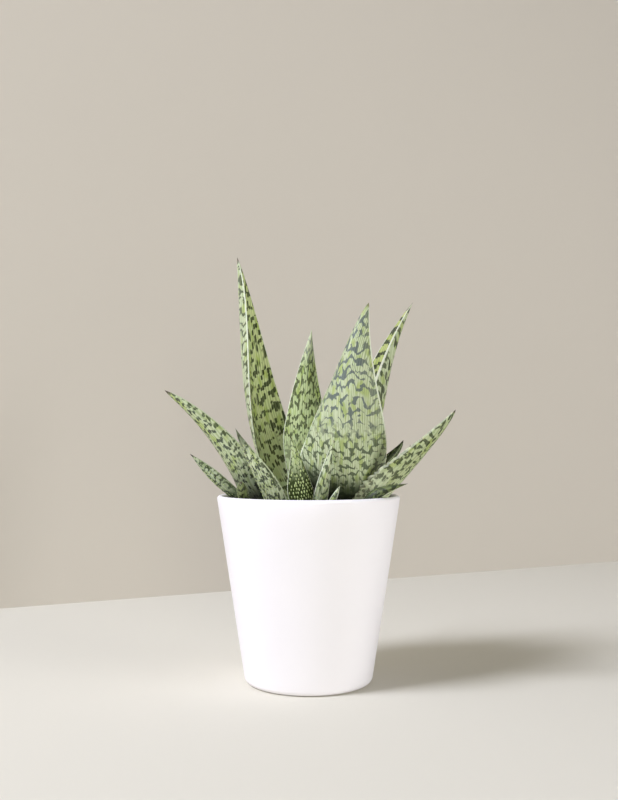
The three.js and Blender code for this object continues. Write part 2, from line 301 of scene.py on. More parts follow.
# Leaves: what each one has unless its own entry says otherwise
usualForm = dict(
    width=20.0, thick=4.0,
    widest=0.3,  # where the leaf is widest, as a share of its length
    shoulder=1.5, point=1.1,  # how full and how pointed it is beyond that
    neck=0.6,  # width at the root, as a share of the widest
    channel=0.3,  # depth of the hollow inner face, as a share of half the width
    rim=0.42,  # rounding radius of the margin
    relief=0.5,  # soft unevenness of the faces
    waveHeight=0.0, waveGap=7.0, waveReach=0.5, waveSide=1.0,  # scallops along one margin
    toothGap=3.0, toothHeight=0.7, toothWidth=0.6,
    beadRows=0, beadGap=2.2, beadSpread=1.7, beadSize=0.55, beadReach=0.5, beadFade=0.3,
)
usualLook = dict(
    outerPale="C6CFAC", outerFresh="B0BE7B", outerMark="525B4C", outerMarkEdge="485233",
    outerStyle="broad", outerSparse=0.0,  # above 0 the marks shrink, below they spread
    innerPale="C6D196", innerFresh="AEBF67", innerMark="2B370F", innerMarkEdge="2B370F",
    innerStyle="inner", innerSparse=0.0,
    lowStyle="", lowReach=(56, 44), lowMark="454F2F",  # marks nearest the root, where they differ
    veins=0.6, veinTone="76884F", veinGap=1.5, freshness=0.5,
    edgeDarkening=0.2, tipDarkening=0.0,  # how far the marks spread towards the margins and the tip
    flecks=0.0, fleckTone="DCE3C6",
    marginTone="DDE3CC", marginWidth=0.4, marginSides=(1.0, 1.0), marginFrom=0.0,
    tipTone="4E4534", tipLength=2.2, tipShare=1.0,
    # Near the root: the base tint is partly the leaf's own colour, partly painted shade where it is darker
    # and painted light where it is paler than the face
    baseTone="48563A", baseReach=(34, 14), baseShare=0.7,
    baseCover=1.0,  # how far the base tint, with its painted shade and painted light, hides the marks as well
    # The root tone is painted shade: the foot of each leaf is darkened for the shade down in the pot
    rootTone="161C0C", rootReach=(20, 11), rootShare=0.85, gloss=0.45,
)
# The midrib is a Bezier curve root, low, high, tip; its hollow side turns through faces, in degrees
leaves = {
    # Painted light: the pale base tint lightens the low inner face, which lies in the shade of the front
    # leaves
    "leaf_tall": dict(
        root=(2, 11, 107), low=(-39, 18, 143), high=(-34, 25, 227), tip=(-50, 34, 283), faces=(-73, -8),
        width=31, thick=7, shoulder=1.75, point=1.02, channel=0.6,
        pattern=3, outerSparse=0.05, innerPale="D0DB9F", innerFresh="B7C870", innerSparse=0.04,
        marginTone="D3DBC2", marginWidth=0.34, marginFrom=110, tipLength=6, baseTone="E8F3C2",
        baseReach=(82, 46), baseShare=0.55, baseCover=0.1, rootTone="6F8340", rootReach=(34, 18),
        rootShare=0.35),
    "leaf_middle": dict(
        root=(2, -1, 107), low=(-2, -9, 139), high=(-4, -12, 183), tip=(2, -14, 226), faces=(82, 93),
        width=30, thick=6, widest=0.45, shoulder=1.2, point=1.08, neck=0.5, channel=0.27,
        pattern=14, outerPale="BAC896", outerFresh="A0B266", outerMark="414A2B", outerMarkEdge="384122",
        outerStyle="long", outerSparse=-0.06, lowStyle="meshed", lowMark="66714C", edgeDarkening=0.15,
        tipDarkening=0.06, tipTone="E4E9DE", tipLength=24, tipShare=0.25, baseTone="BECC9F",
        baseReach=(60, 32), baseShare=0.55, baseCover=0.5, rootShare=0.4),
    # Painted shade: the dark base tint and near-black root tone darken its foot
    "leaf_broad": dict(
        root=(14, -3, 107), low=(30, -28, 147), high=(18, -34, 178), tip=(38, -27, 241), faces=(118, 38),
        width=55, thick=12, widest=0.29, shoulder=1.34, point=0.89, neck=0.35, channel=0.48,
        pattern=22, outerMark="586261", outerMarkEdge="68725E", outerSparse=0.05, lowStyle="meshed",
        lowReach=(78, 56), lowMark="4C573E", veins=0.7, veinGap=1.15, edgeDarkening=0, tipDarkening=0.26,
        marginWidth=0.5, tipTone="7C7F55", tipLength=3, baseTone="2C3621", baseReach=(43, 29), baseShare=0.88,
        rootTone="060902", rootReach=(31, 19), rootShare=0.95),
    "leaf_right_back": dict(
        root=(15, 10, 107), low=(34, 14, 150), high=(40, 20, 202), tip=(72, 26, 250), faces=(198, 196),
        width=42, thick=7, widest=0.36, shoulder=1.23, point=1.16, neck=0.4, channel=0.66,
        pattern=31, outerMark="363E29", outerStyle="inner", innerPale="C0C87C", innerFresh="AEB95C",
        innerMark="1D250B", innerMarkEdge="1D250B", innerStyle="banded", marginTone="E6EAD8",
        marginWidth=0.6),
    # Painted shade: the near-black low marks, base tint and root tone darken its foot, where it passes behind
    # the front leaves
    "leaf_long_left": dict(
        root=(-31, -4, 107), low=(-37, 3, 135), high=(-67, 5, 171), tip=(-96, 8, 188), faces=(53, 21),
        width=24, thick=6, widest=0.22, shoulder=1.23, point=0.89, channel=0.38,
        pattern=44, outerPale="BFC8A2", outerMark="3F473A", outerStyle="streaked", lowStyle="streaked",
        lowReach=(44, 30), lowMark="0A0D06", marginTone="B5BF9C", marginWidth=0.2, tipLength=7,
        baseTone="434C38", baseReach=(42, 24), baseShare=0.65, baseCover=0, rootTone="060803",
        rootReach=(25, 13), rootShare=0.8),
    "leaf_left_front": dict(
        root=(-23, -12, 107), low=(-12, -19, 114), high=(-36, -22, 140), tip=(-46, -24, 162), faces=(40, 50),
        width=19, thick=5, widest=0.2, shoulder=1.8, point=1.15, toothHeight=0.8, beadRows=26, beadGap=2.4,
        beadSize=0.42, beadReach=1, beadFade=0.75,
        pattern=52, outerPale="DAE3BF", outerFresh="BFCC8E", outerMark="465040", outerStyle="streaked",
        tipDarkening=0.05, flecks=0.3, marginTone="C8D2AC", marginWidth=0.25, tipTone="424B36", tipLength=18,
        tipShare=0.75, baseReach=(24, 12), baseShare=0.4),
    "leaf_left_low": dict(
        root=(-31, -11, 107), low=(-56, -15, 127), high=(-65, -17, 137), tip=(-75, -20, 146), faces=(61, 61),
        width=8, widest=0.44, shoulder=1.75, point=1.2, toothHeight=0.5, beadRows=20, beadSize=0.34,
        beadReach=1, beadFade=0.6,
        pattern=61, outerPale="BAC4A6", outerFresh="99A67E", outerMark="3E4837", outerStyle="fine",
        flecks=0.4, marginTone="A9B390", marginWidth=0.15, tipTone="1D1B14", tipLength=6, baseShare=0.5),
    "leaf_left_bud": dict(
        root=(-31, -14, 108), low=(-44, -30, 115), high=(-40, -33, 126), tip=(-42, -35, 129), faces=(90, 90),
        width=7, widest=0.6, shoulder=1.8, point=0.8, channel=0.2, toothHeight=0.4, beadRows=10, beadGap=1.8,
        beadSize=0.4, beadReach=1,
        pattern=72, outerPale="737A52", outerFresh="565F38", outerMark="262C18", outerStyle="fine",
        marginTone="8F9670", marginWidth=0.12, baseTone="1E2713", baseReach=(16, 8)),
    "leaf_front_centre": dict(
        root=(0, -35, 107), low=(-8, -37, 125), high=(-5, -39, 139), tip=(-11, -42, 157), faces=(98, 90),
        width=16, thick=5, widest=0.32, shoulder=1.25, neck=0.7, channel=0.2, toothHeight=0.5, beadRows=22,
        beadSize=0.62, beadReach=0.8, beadFade=0.5,
        pattern=83, outerPale="C2CEA0", outerFresh="A0B26C", outerMark="586640", outerStyle="speckled",
        outerSparse=0.16, tipDarkening=0.2, marginWidth=0.2, tipLength=3, baseTone="273500",
        baseReach=(40, 22), baseShare=0.95, rootShare=0, gloss=0.6),
    "leaf_front_narrow": dict(
        root=(7, -34, 107), low=(5, -41, 121), high=(14, -46, 143), tip=(14, -40, 152), faces=(94, 98),
        width=9, widest=0.22, shoulder=1.37, point=0.83, neck=0.7, channel=0.2, toothHeight=0.4, beadRows=12,
        beadSize=0.45, beadReach=0.55, beadFade=0.4,
        pattern=94, outerMark="434D34", outerStyle="streaked", marginWidth=0.25, tipTone="A9AE8A",
        baseShare=0.3, rootShare=0.2),
    "leaf_front_tiny": dict(
        root=(6, -37, 108), low=(14, -45, 114), high=(16, -47, 122), tip=(19, -47, 127), faces=(90, 90),
        width=4, thick=2.5, widest=0.5, shoulder=1.6, neck=0.7, channel=0.2, toothGap=2, toothHeight=0.35,
        pattern=103, marginWidth=0.3, tipTone="B9BD94", baseShare=0.2, rootShare=0.2),
    # Painted light: the pale base tint lightens its root, which lies in the shade of the leaves above
    "leaf_right_low": dict(
        root=(28.5, -9, 107), low=(39.5, -28.5, 122), high=(69, -35, 148), tip=(90, -40, 173),
        faces=(123, 158), width=26, thick=6, widest=0.16, shoulder=1.33, point=0.83, neck=0.5, channel=0.34,
        waveHeight=3, waveGap=4.4, waveReach=0.75, toothHeight=0.9, toothWidth=0.8,
        pattern=111, outerPale="B5BE95", outerFresh="A3AE6C", outerMark="3E462C", outerMarkEdge="3A4226",
        outerStyle="streaked", marginWidth=0.5, marginSides=(1, 0.45), tipLength=3, baseTone="E6EECC",
        baseReach=(52, 26), baseCover=0.35, rootReach=(9, 5)),
    # Painted shade: this leaf's greens are darkened for the shade it lies in under leaf_right_low
    "leaf_right_lowest": dict(
        root=(36, -30, 107), low=(32, -33.5, 120), high=(45, -32.5, 123.5), tip=(60.7, -39, 128),
        faces=(105, 110), width=7, thick=3, widest=0.5, channel=0.25,
        pattern=123, outerPale="656E47", outerFresh="4A552D", outerMark="1C2312", outerStyle="fine",
        outerSparse=-0.25, marginTone="D8DEC4", marginWidth=0.35, marginSides=(1, 0), tipTone="3A3A2A",
        baseShare=0.3, rootReach=(12, 6)),
    # Painted shade: this leaf's dark greens on both faces stand for the shade it sits in behind leaf_broad
    "leaf_right_dark": dict(
        root=(35, 1, 107), low=(35, 10, 135), high=(58, 16, 142), tip=(64, 18, 155), faces=(205, 206),
        width=14, widest=0.32, shoulder=1.73, point=1.03,
        pattern=134, outerPale="606E4A", outerFresh="43522F", outerMark="151D0E", innerPale="4A5836",
        innerFresh="384622", innerMark="131A0B", flecks=0.6, marginTone="8A9670", marginWidth=0.15,
        tipTone="2A281F", tipLength=5),
    "leaf_right_small": dict(
        root=(38, 0, 107), low=(52, 8, 122), high=(64, 11, 138), tip=(68, 12, 152), faces=(180, 180),
        width=10, thick=3.5, shoulder=1.6,
        pattern=142, outerStyle="streaked", marginWidth=0.2, tipTone="6B4A42", tipLength=6),
    "leaf_back": dict(
        root=(7, 15, 107), low=(2, 50, 130), high=(0, 52, 166), tip=(-2, 72, 194), faces=(268, 262), width=30,
        thick=7, point=1.05, neck=0.45, channel=0.4,
        pattern=151),
    "leaf_back_left": dict(
        root=(-27, -2, 107), low=(-26, 32, 116), high=(-46, 42, 136), tip=(-60, 52, 155), faces=(285, 295),
        thick=5, point=1.05, neck=0.5, channel=0.35,
        pattern=163),
    "leaf_back_right": dict(
        root=(31, 3, 107), low=(22, 36, 114), high=(34, 48, 140), tip=(42, 60, 156), faces=(255, 250),
        width=18, thick=5, point=1.05, neck=0.5, channel=0.35,
        pattern=174),
    "leaf_heart": dict(
        root=(8, 6, 110), low=(6, 6, 130), high=(11, 5, 152), tip=(10, 4, 176), faces=(60, 60), width=13,
        neck=0.7, channel=0.4,
        pattern=181),
}


# The leaf's section at t: centre, along, across, inward, half width, hollow and thickness
def sectionNodes(w, given, t, shrink=1.0):
    rest = 1.0 - t
    weights = [rest * rest * rest, 3.0 * rest * rest * t, 3.0 * rest * t * t, t * t * t]
    corners = [given.root, given.low, given.high, given.tip]
    centre = w.sumOf(*(w.scaled(corner, weight) for corner, weight in zip(corners, weights)))
    slopes = [rest * rest, 2.0 * rest * t, t * t]
    steps = [w.vector("SUBTRACT", b, a) for a, b in zip(corners, corners[1:])]
    along = w.vector("NORMALIZE", w.sumOf(*(w.scaled(step, slope) for step, slope in zip(steps, slopes))))
    angle = w.calc("RADIANS", given.rootFaces + t * (given.tipFaces - given.rootFaces))
    facing = w.xyz(w.calc("COSINE", angle), w.calc("SINE", angle))
    slip = w.scaled(along, w.vector("DOT_PRODUCT", facing, along, output="Value"))
    inward = w.vector("NORMALIZE", w.vector("SUBTRACT", facing, slip))
    across = w.vector("CROSS_PRODUCT", along, inward)
    rise = w.calc("SINE", w.calc("MINIMUM", t / given.widest, 1.0) * (math.pi / 2))
    below = given.neck + (1.0 - given.neck) * rise
    beyond = (t - given.widest) / (1.0 - given.widest)
    taper = 1.0 - w.calc("POWER", w.calc("MAXIMUM", beyond, 0.0), given.shoulder)
    above = w.calc("POWER", w.calc("MAXIMUM", taper, 0.0), given.point)
    fullness = below * above * shrink
    half = given.width * 0.5 * fullness
    return SimpleNamespace(
        centre=centre, along=along, across=across, inward=inward, half=half,
        hollow=given.channel * half, thick=given.thick * w.calc("POWER", fullness, 0.8))


# How far a scalloped margin stands out at t, for the side (-1 or 1) that share lies on
def scallopNodes(w, given, t, share):
    place = t * given.length / given.waveGap
    drift = w.noiseAt(w.xyz(place * 0.9, 3.0))
    lobe = w.calc("ABSOLUTE", w.calc("SINE", (place + drift) * math.pi))
    fade = w.ramp(t, given.waveReach, given.waveReach * 0.4)
    own = w.calc("GREATER_THAN", share * given.waveSide, 0.0)
    return given.waveHeight * (lobe - 0.35) * fade * own


def pointNodes(w, section, sideways, depth):
    lift = depth + section.hollow * 0.5
    place = w.sumOf(section.centre, w.scaled(section.across, sideways), w.scaled(section.inward, lift))
    return w.scaled(place, mm)


bulgePower = 2.2  # how square the outer face is across


def outerDepthNodes(w, section, share):
    bulge = 1.0 - w.calc("POWER", w.calc("ABSOLUTE", share), bulgePower)
    return (section.hollow + section.thick) * bulge * -1.0


def storeNodes(w, geometry, name, value, kind="FLOAT_VECTOR", domain="POINT"):
    sockets = {"Geometry": geometry, "Name": name, "Value": value}
    return w.geo("StoreNamedAttribute", sockets, data_type=kind, domain=domain)


def smoothNodes(w, geometry):
    return w.geo("SetShadeSmooth", {"Geometry": geometry})


def dressNodes(w, geometry, material):
    return w.geo("SetMaterial", {"Geometry": geometry, "Material": material})


def realNodes(w, instances):
    return w.geo("RealizeInstances", {"Geometry": instances})


def randomNodes(w, low, high, seed):
    return w.out("FunctionNodeRandomValue", {2: low, 3: high, 8: seed}, 1, data_type="FLOAT")


# The blade: a grid wrapped round the midrib, drawn together to a point at both ends
def bladeNodes(w, given):
    grid = w.geo("MeshGrid", {
        "Size X": 1.0, "Size Y": 1.0, "Vertices X": given.around + 1.0, "Vertices Y": given.stations + 1.0})
    spotX, spotY, _ = w.split(w.geo("InputPosition"))
    row = (spotY + 0.5) * given.stations
    t = w.calc("MAXIMUM", row - 1.0, 0.0) / (given.stations - 1.0)
    shrink = w.calc("MINIMUM", row, 1.0)
    turn = (spotX + 0.5) * fullTurn
    share = w.calc("COSINE", turn) * -1.0
    inner = w.calc("GREATER_THAN", w.calc("SINE", turn), 0.0)
    section = sectionNodes(w, given, t, shrink)
    size = w.calc("ABSOLUTE", share)

    # Hollow inner face, bulging outer face and a rounded rim between them
    rim = w.calc("MINIMUM", given.rim, section.half * 0.3)
    fall = section.half * 2.4 / w.calc("MAXIMUM", rim, 0.01)
    edge = rim * w.calc("SQRT", 1.0 - w.calc("POWER", size, fall))
    innerDepth = section.hollow * (share * share - 1.0) + edge
    outerDepth = outerDepthNodes(w, section, share) - edge
    depth = innerDepth * inner + outerDepth * (1.0 - inner)

    # Millimetres on the surface, for the relief and the shading
    vein = share * w.calc("POWER", section.half, 0.7) * w.calc("POWER", given.width * 0.5, 0.3)
    distance = t * given.length
    narrowing = w.calc("MINIMUM", section.half / (given.width * 0.3), 1.0)
    toMargin = (1.0 - size) * section.half / w.calc("MAXIMUM", narrowing, 0.02)

    swell = w.noiseAt(w.xyz(vein * 0.16, distance * 0.07, inner * 4.0), detail=1.0)
    relief = (swell - 0.5) * given.relief * (1.0 - w.calc("POWER", size, 6.0)) * shrink
    wave = scallopNodes(w, given, t, share) * w.calc("POWER", size, 5.0) * shrink
    place = pointNodes(w, section, share * (section.half + wave), depth + relief)
    surface = storeNodes(w, grid, "leafSpace", w.xyz(vein, distance, inner))
    surface = storeNodes(w, surface, "leafPlace", w.xyz(share, given.length - distance, toMargin))
    shaped = w.geo("SetPosition", {"Geometry": surface, "Position": place})
    closed = w.geo("MergeByDistance", {"Geometry": shaped, "Distance": 1e-6})
    return dressNodes(w, smoothNodes(w, closed), given.leafMaterial)


# Shapes placed on points: up is where the shape's Z goes, along where its Y goes
def instanceNodes(w, points, selection, shape, up, along, scale):
    first = w.out("FunctionNodeAlignRotationToVector", {"Vector": up}, axis="Z")
    second = w.out(
        "FunctionNodeAlignRotationToVector", {"Rotation": first, "Vector": along}, axis="Y", pivot_axis="Z")
    return w.geo("InstanceOnPoints", {
        "Points": points, "Selection": selection, "Instance": shape, "Rotation": second, "Scale": scale})


# Small horny teeth along both margins, leaning towards the tip
def toothNodes(w, given):
    perSide = w.calc("FLOOR", given.length / given.toothGap)
    line = w.geo("MeshLine", {"Count": perSide * 2.0})
    index = w.geo("InputIndex")
    side = w.calc("MODULO", index, 2.0) * 2.0 - 1.0
    step = w.calc("FLOOR", index * 0.5) + randomNodes(w, 0.25, 0.75, given.seed)
    t = step / perSide
    section = sectionNodes(w, given, t)
    sunk = -0.15  # how far the foot of a tooth lies inside the margin
    sideways = side * (section.half + scallopNodes(w, given, t, side) + sunk)
    place = pointNodes(w, section, sideways, 0.0)
    points = w.geo("SetPosition", {"Geometry": line, "Position": place})
    cone = w.geo("MeshCone", {
        "Vertices": 5, "Side Segments": 1, "Fill Segments": 1, "Radius Top": 0.0, "Radius Bottom": 1.0,
        "Depth": 1.0})
    lean = 0.55
    up = w.sumOf(w.scaled(section.across, side), w.scaled(section.along, lean))
    size = (1.0 - t * 0.6) * randomNodes(w, 0.7, 1.15, given.seed + 3) * mm
    scale = w.xyz(size * 0.3, size * given.toothWidth, size * given.toothHeight)
    beforeTip = w.calc("LESS_THAN", t, 0.96)  # none at the very tip
    teeth = instanceNodes(w, points, beforeTip, cone, up, section.along, scale)
    return dressNodes(w, realNodes(w, teeth), given.toothMaterial)


# Pale beads in staggered rows on the outer face, thinning out towards the tip
def beadNodes(w, given):
    columns = w.calc("CEIL", given.width / given.beadSpread)
    line = w.geo("MeshLine", {"Count": columns * given.beadRows})
    index = w.geo("InputIndex")
    row = w.calc("FLOOR", (index + 0.5) / columns)
    column = index - row * columns
    stagger = w.calc("MODULO", row, 2.0) * 0.5
    jitter = randomNodes(w, -0.22, 0.22, given.seed)  # shares of the gap between beads
    middle = (columns - 1.0) * 0.5
    lane = (column - middle + stagger + jitter) * (given.beadSpread * 2.0 / given.width)
    nudge = randomNodes(w, -0.2, 0.2, given.seed + 1)
    t = (row + 0.6 + nudge) * given.beadGap / given.length
    section = sectionNodes(w, given, t)
    share = lane * given.width * 0.5 / section.half
    size = w.calc("ABSOLUTE", share)
    skin = outerDepthNodes(w, section, share) - given.rim
    place = pointNodes(w, section, share * section.half, skin)
    points = w.geo("SetPosition", {"Geometry": line, "Position": place})
    steepness = (section.hollow + section.thick) * bulgePower * w.calc("POWER", size, bulgePower - 1)
    slope = steepness * w.calc("SIGN", share) / section.half
    up = w.vector("SUBTRACT", w.scaled(section.across, slope), section.inward)
    keep = w.ramp(t, given.beadReach * given.beadFade, given.beadReach, 1.0, 0.0)
    chosen = w.calc("LESS_THAN", randomNodes(w, 0.0, 1.0, given.seed + 2), keep + 0.02)
    onFace = w.calc("LESS_THAN", size, 0.9)  # none on the margins
    inReach = w.calc("LESS_THAN", t, w.calc("MINIMUM", given.beadReach, 0.93))
    bead = w.geo("MeshUVSphere", {"Segments": 6, "Rings": 4, "Radius": 1.0})
    radius = given.beadSize * randomNodes(w, 0.7, 1.2, given.seed + 4) * mm
    scale = w.xyz(radius * 0.75, radius * 1.5, radius * 0.7)
    beads = instanceNodes(w, points, chosen * onFace * inReach, bead, up, section.along, scale)
    return dressNodes(w, smoothNodes(w, realNodes(w, beads)), given.beadMaterial)


def makeLeafTree():
    inputs = dict(
        geometry="Geometry", root="Vector", low="Vector", high="Vector", tip="Vector", **usualForm,
        rootFaces=0.0, tipFaces=0.0, length=100.0, around=40, stations=60, seed=1,
        leafMaterial="Material", toothMaterial="Material", beadMaterial="Material")
    w, given, result = newTree("aloeLeaf", "GeometryNodeTree", inputs, {"geometry": "Geometry"})
    joined = w.add("GeometryNodeJoinGeometry")
    for part in (beadNodes(w, given), toothNodes(w, given), bladeNodes(w, given)):
        w.put(part, joined.inputs[0])
    w.put(Signal(w, joined.outputs[0]), result["Geometry"])
    return w.tree


# Runs a Geometry Nodes tree on a host mesh and keeps its result as a plain mesh
def grow(name, host, tree, values):
    piece = bpy.data.objects.new(name, host)
    scene.collection.objects.link(piece)
    modifier = piece.modifiers.new(tree.name, "NODES")
    modifier.node_group = tree
    named = {socketName(key): value for key, value in values.items()}
    for socket in tree.interface.items_tree:
        if socket.in_out == "INPUT" and socket.name in named:
            value = named[socket.name]
            if socket.socket_type == "NodeSocketFloat":
                value = float(value)
            modifier[socket.identifier] = value
    graph = bpy.context.evaluated_depsgraph_get()
    plain = bpy.data.meshes.new_from_object(piece.evaluated_get(graph), depsgraph=graph)
    piece.modifiers.remove(modifier)
    piece.data = plain
    return piece


def bezierLength(corners, steps=100):
    last, total = corners[0], 0.0
    for i in range(1, steps + 1):
        t = i / steps
        spot = sum((corners[k] * math.comb(3, k) * t ** k * (1 - t) ** (3 - k) for k in range(4)), Vector())
        total += (spot - last).length
        last = spot
    return total


def makeLeafMaterial(name, leaf):
    skin = {"IOR": 1.33, "Subsurface Weight": 0.06, "Subsurface Scale": 0.0015}
    material, w, shader = newMaterial(name, skin)
    across, along, inner = w.split(w.attribute("leafSpace"))
    share, toTip, toMargin = w.split(w.attribute("leafPlace"))
    seed = leaf["pattern"]
    spot = dict(across=across, along=along, seed=seed)

    def tone(key):
        return colour(leaf[key])

    veins = addGroup(w, veinsGroup, veinGap=leaf["veinGap"], **spot)[0]
    patches = w.noiseAt(w.xyz(across * 0.3, along * 0.09, seed), detail=1.5)
    freshStart = 0.65 - 0.3 * leaf["freshness"]
    fresh = w.ramp(patches, freshStart, freshStart + 0.16)
    nearEdge = w.ramp(w.calc("ABSOLUTE", share), 0.55, 0.95)
    nearTip = w.ramp(toTip, 75.0, 25.0)  # in millimetres, as all reaches and lengths

    def marksOf(style, sparse, seedStep):
        settings = dict(markStyles[style], across=across, along=along, seed=seed + seedStep)
        settings["ragged"] = (1.0 + nearEdge) * settings["ragged"]
        settings["threshold"] = sparse + settings.pop("level")
        return addGroup(w, marksGroup, **settings)[0]

    # Marked green of both faces
    faces, masks = [], []
    for side, seedStep in (("outer", 0.0), ("inner", 50.0)):
        sparse = leaf[side + "Sparse"] + nearEdge * -leaf["edgeDarkening"] + nearTip * -leaf["tipDarkening"]
        mask = marksOf(leaf[side + "Style"], sparse, seedStep)
        dark = w.mix(nearEdge, tone(side + "Mark"), tone(side + "MarkEdge"))
        if leaf["lowStyle"] and side == "outer":
            low = w.ramp(along, *leaf["lowReach"])
            mask = marksOf(leaf["lowStyle"], sparse, 25.0) * low + mask * (1.0 - low)
            dark = w.mix(low, dark, tone("lowMark"))
        green = w.mix(fresh, tone(side + "Pale"), tone(side + "Fresh"))
        lined = w.mix(veins * leaf["veins"], green, tone("veinTone"))
        faces.append(w.mix(mask * (0.85 + veins * 0.15), lined, dark))
        masks.append(mask)
    face = w.mix(inner, *faces)
    mask = masks[1] * inner + masks[0] * (1.0 - inner)
    if leaf["flecks"]:
        flecks = addGroup(w, flecksGroup, **spot)[0]
        face = w.mix(flecks * leaf["flecks"], face, tone("fleckTone"))

    # Tones of base (own tint with painted shade and painted light), margins, root (painted shade) and tip,
    # one over the other
    margin, tip = addGroup(
        w, edgesGroup, along=along, toMargin=toMargin, toTip=toTip, marginWidth=leaf["marginWidth"],
        tipLength=leaf["tipLength"], seed=seed)
    # Painted shade and painted light: the base tint darkens or lightens the lower leaf as set per leaf
    bare = 1.0 - mask * (1.0 - leaf["baseCover"])
    face = w.mix(
        w.ramp(along, *leaf["baseReach"]) * bare * leaf["baseShare"], face, tone("baseTone"))
    sides = w.ramp(share, -0.2, 0.2, *leaf["marginSides"])
    marginFade = 60.0  # a margin that starts high up comes in over this length
    upwards = w.ramp(along, leaf["marginFrom"] - marginFade, leaf["marginFrom"], 0.25, 1.0)
    face = w.mix(margin * sides * upwards, face, tone("marginTone"))
    # Painted shade: the root tone darkens the foot of the leaf, down in the crowded pot
    face = w.mix(w.ramp(along, *leaf["rootReach"]) * leaf["rootShare"], face, tone("rootTone"))
    face = w.mix(tip * leaf["tipShare"], face, tone("tipTone"))
    w.put(face, shader["Base Color"])

    grain = w.noiseAt(w.xyz(across, along * 0.5, seed), scale=2.2, detail=2.0)
    w.put(leaf["gloss"] + grain * 0.16 + mask * -0.05, shader["Roughness"])
    w.put(w.bump(veins * 0.5 + grain * 0.35 + mask * -0.2, 0.35, 0.0003), shader["Normal"])
    return material


def makeHornMaterial(name, pale, warm):
    material, w, shader = newMaterial(name)
    cloud = w.noiseAt(w.objectPlace(), scale=900.0, detail=1.0)
    w.put(w.mix(cloud, colour(pale), colour(warm)), shader["Base Color"])
    w.put(0.35 + cloud * 0.2, shader["Roughness"])
    return material


leafTree = makeLeafTree()
leafHost = bpy.data.meshes.new("leafHost")
hornMaterials = dict(
    toothMaterial=makeHornMaterial("paleTeeth", "EEF0DC", "D9DDBB"),
    beadMaterial=makeHornMaterial("paleBeads", "C4D098", "A5B76E"))
facesPerMm, fewest, most, faceLength = 0.75, 14, 34, 1.3  # how finely a blade is cut

for number, (name, own) in enumerate(leaves.items()):
    leaf = {**usualForm, **usualLook, **own}
    midrib = {key: Vector(leaf[key]) for key in ("root", "low", "high", "tip")}
    length = bezierLength(list(midrib.values()))
    leaf.update(
        midrib, rootFaces=leaf["faces"][0], tipFaces=leaf["faces"][1], length=length,
        around=2 * max(fewest, min(most, round(leaf["width"] * facesPerMm))),
        stations=max(40, round(length / faceLength)), seed=number * 7 + 1,
        leafMaterial=makeLeafMaterial(name + "_skin", leaf), **hornMaterials)
    piece = grow(name + "_leaf", leafHost.copy(), leafTree, leaf)
    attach(piece, body)
    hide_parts(name)
print("leaves grown:", len(leaves))


# Turned pieces: a profile of (radius, height) points spun round the upright axis

def turnedMesh(name, profile, sides, centre=(0.0, 0.0), uneven=0.0):
    points, faces, rings = [], [], []
    for radius, height in profile:
        if radius < 1e-6:
            rings.append([len(points)])
            points.append((centre[0] * mm, centre[1] * mm, height * mm))
            continue
        ring = []
        for i in range(sides):
            x, y = math.cos(fullTurn * i / sides), math.sin(fullTurn * i / sides)
            spot = Vector((centre[0] + radius * x, centre[1] + radius * y, height))
            if uneven:
                spot += Vector((x, y, 0.5)) * (uneven * noise.noise(spot * 0.35))
            ring.append(len(points))
            points.append(spot * mm)
        rings.append(ring)
    for a, b in zip(rings, rings[1:]):
        for i in range(sides):
            j = (i + 1) % sides
            corners = a[i % len(a)], a[j % len(a)], b[j % len(b)], b[i % len(b)]
            faces.append(tuple(dict.fromkeys(corners)))  # a triangle where one ring is a single point
    mesh = bpy.data.meshes.new(name)
    mesh.from_pydata(points, [], faces)
    mesh.validate()
    mesh.shade_smooth()
    return mesh


def addPiece(name, mesh, material, slot, *nodes):
    piece = bpy.data.objects.new(name, mesh)
    scene.collection.objects.link(piece)
    mesh.materials.append(material)
    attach(piece, body)
    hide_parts(*nodes)


# Pot

potSize = dict(height=119, rim=59.4, base=40.8, wall=4, floor=5, foot=4, sides=180)
flatRings = (20, 34)  # radii of the rings of points on the flat underside


def potRadius(height):
    return potSize["base"] + (potSize["rim"] - potSize["base"]) * height / potSize["height"]


def arc(x, y, radius, start, end, count):
    angles = [math.radians(start + (end - start) * i / count) for i in range(count + 1)]
    return [(x + radius * math.cos(a), y + radius * math.sin(a)) for a in angles]


# Points 1 to last on the line from a to b in count steps
def lineSteps(a, b, count, last):
    return [tuple(p + (q - p) * k / count for p, q in zip(a, b)) for k in range(1, last + 1)]


def potProfile():
    foot, wall, floor, lip = potSize["foot"], potSize["wall"], potSize["floor"], potSize["wall"] / 2
    outside = arc(potRadius(foot) - foot, foot, foot, -90, -8, 10)
    lipArc = arc(potSize["rim"] - lip, potSize["height"] - lip, lip, 0, 180, 18)
    side = lineSteps(outside[-1], lipArc[0], 12, 11)
    inside = lineSteps(lipArc[-1], (potRadius(floor) - wall, floor), 10, 10)
    under = [(0, 0)] + [(radius, 0) for radius in flatRings]
    return under + outside + side + lipArc + inside + [(flatRings[0], floor), (0, floor)]


def makeGlaze():
    glaze = {"IOR": 1.45, "Coat Weight": 0.15, "Coat Roughness": 0.25}
    material, w, shader = newMaterial("whiteGlaze", glaze)
    place = w.objectPlace()
    cloud = w.noiseAt(place, scale=22.0, detail=3.0)
    w.put(w.mix(cloud, colour("F8F5F8"), colour("F4F1F4")), shader["Base Color"])
    w.put(0.36 + cloud * 0.12, shader["Roughness"])
    ripple = w.noiseAt(place, scale=160.0, detail=2.0)
    w.put(w.bump(ripple + cloud * 2.0, 0.04, 0.0005), shader["Normal"])
    return material


addPiece("glazed_pot", turnedMesh("glazed_pot", potProfile(), potSize["sides"]), makeGlaze(), "glaze", "pot")
print("pot turned")


# Soil and its grains

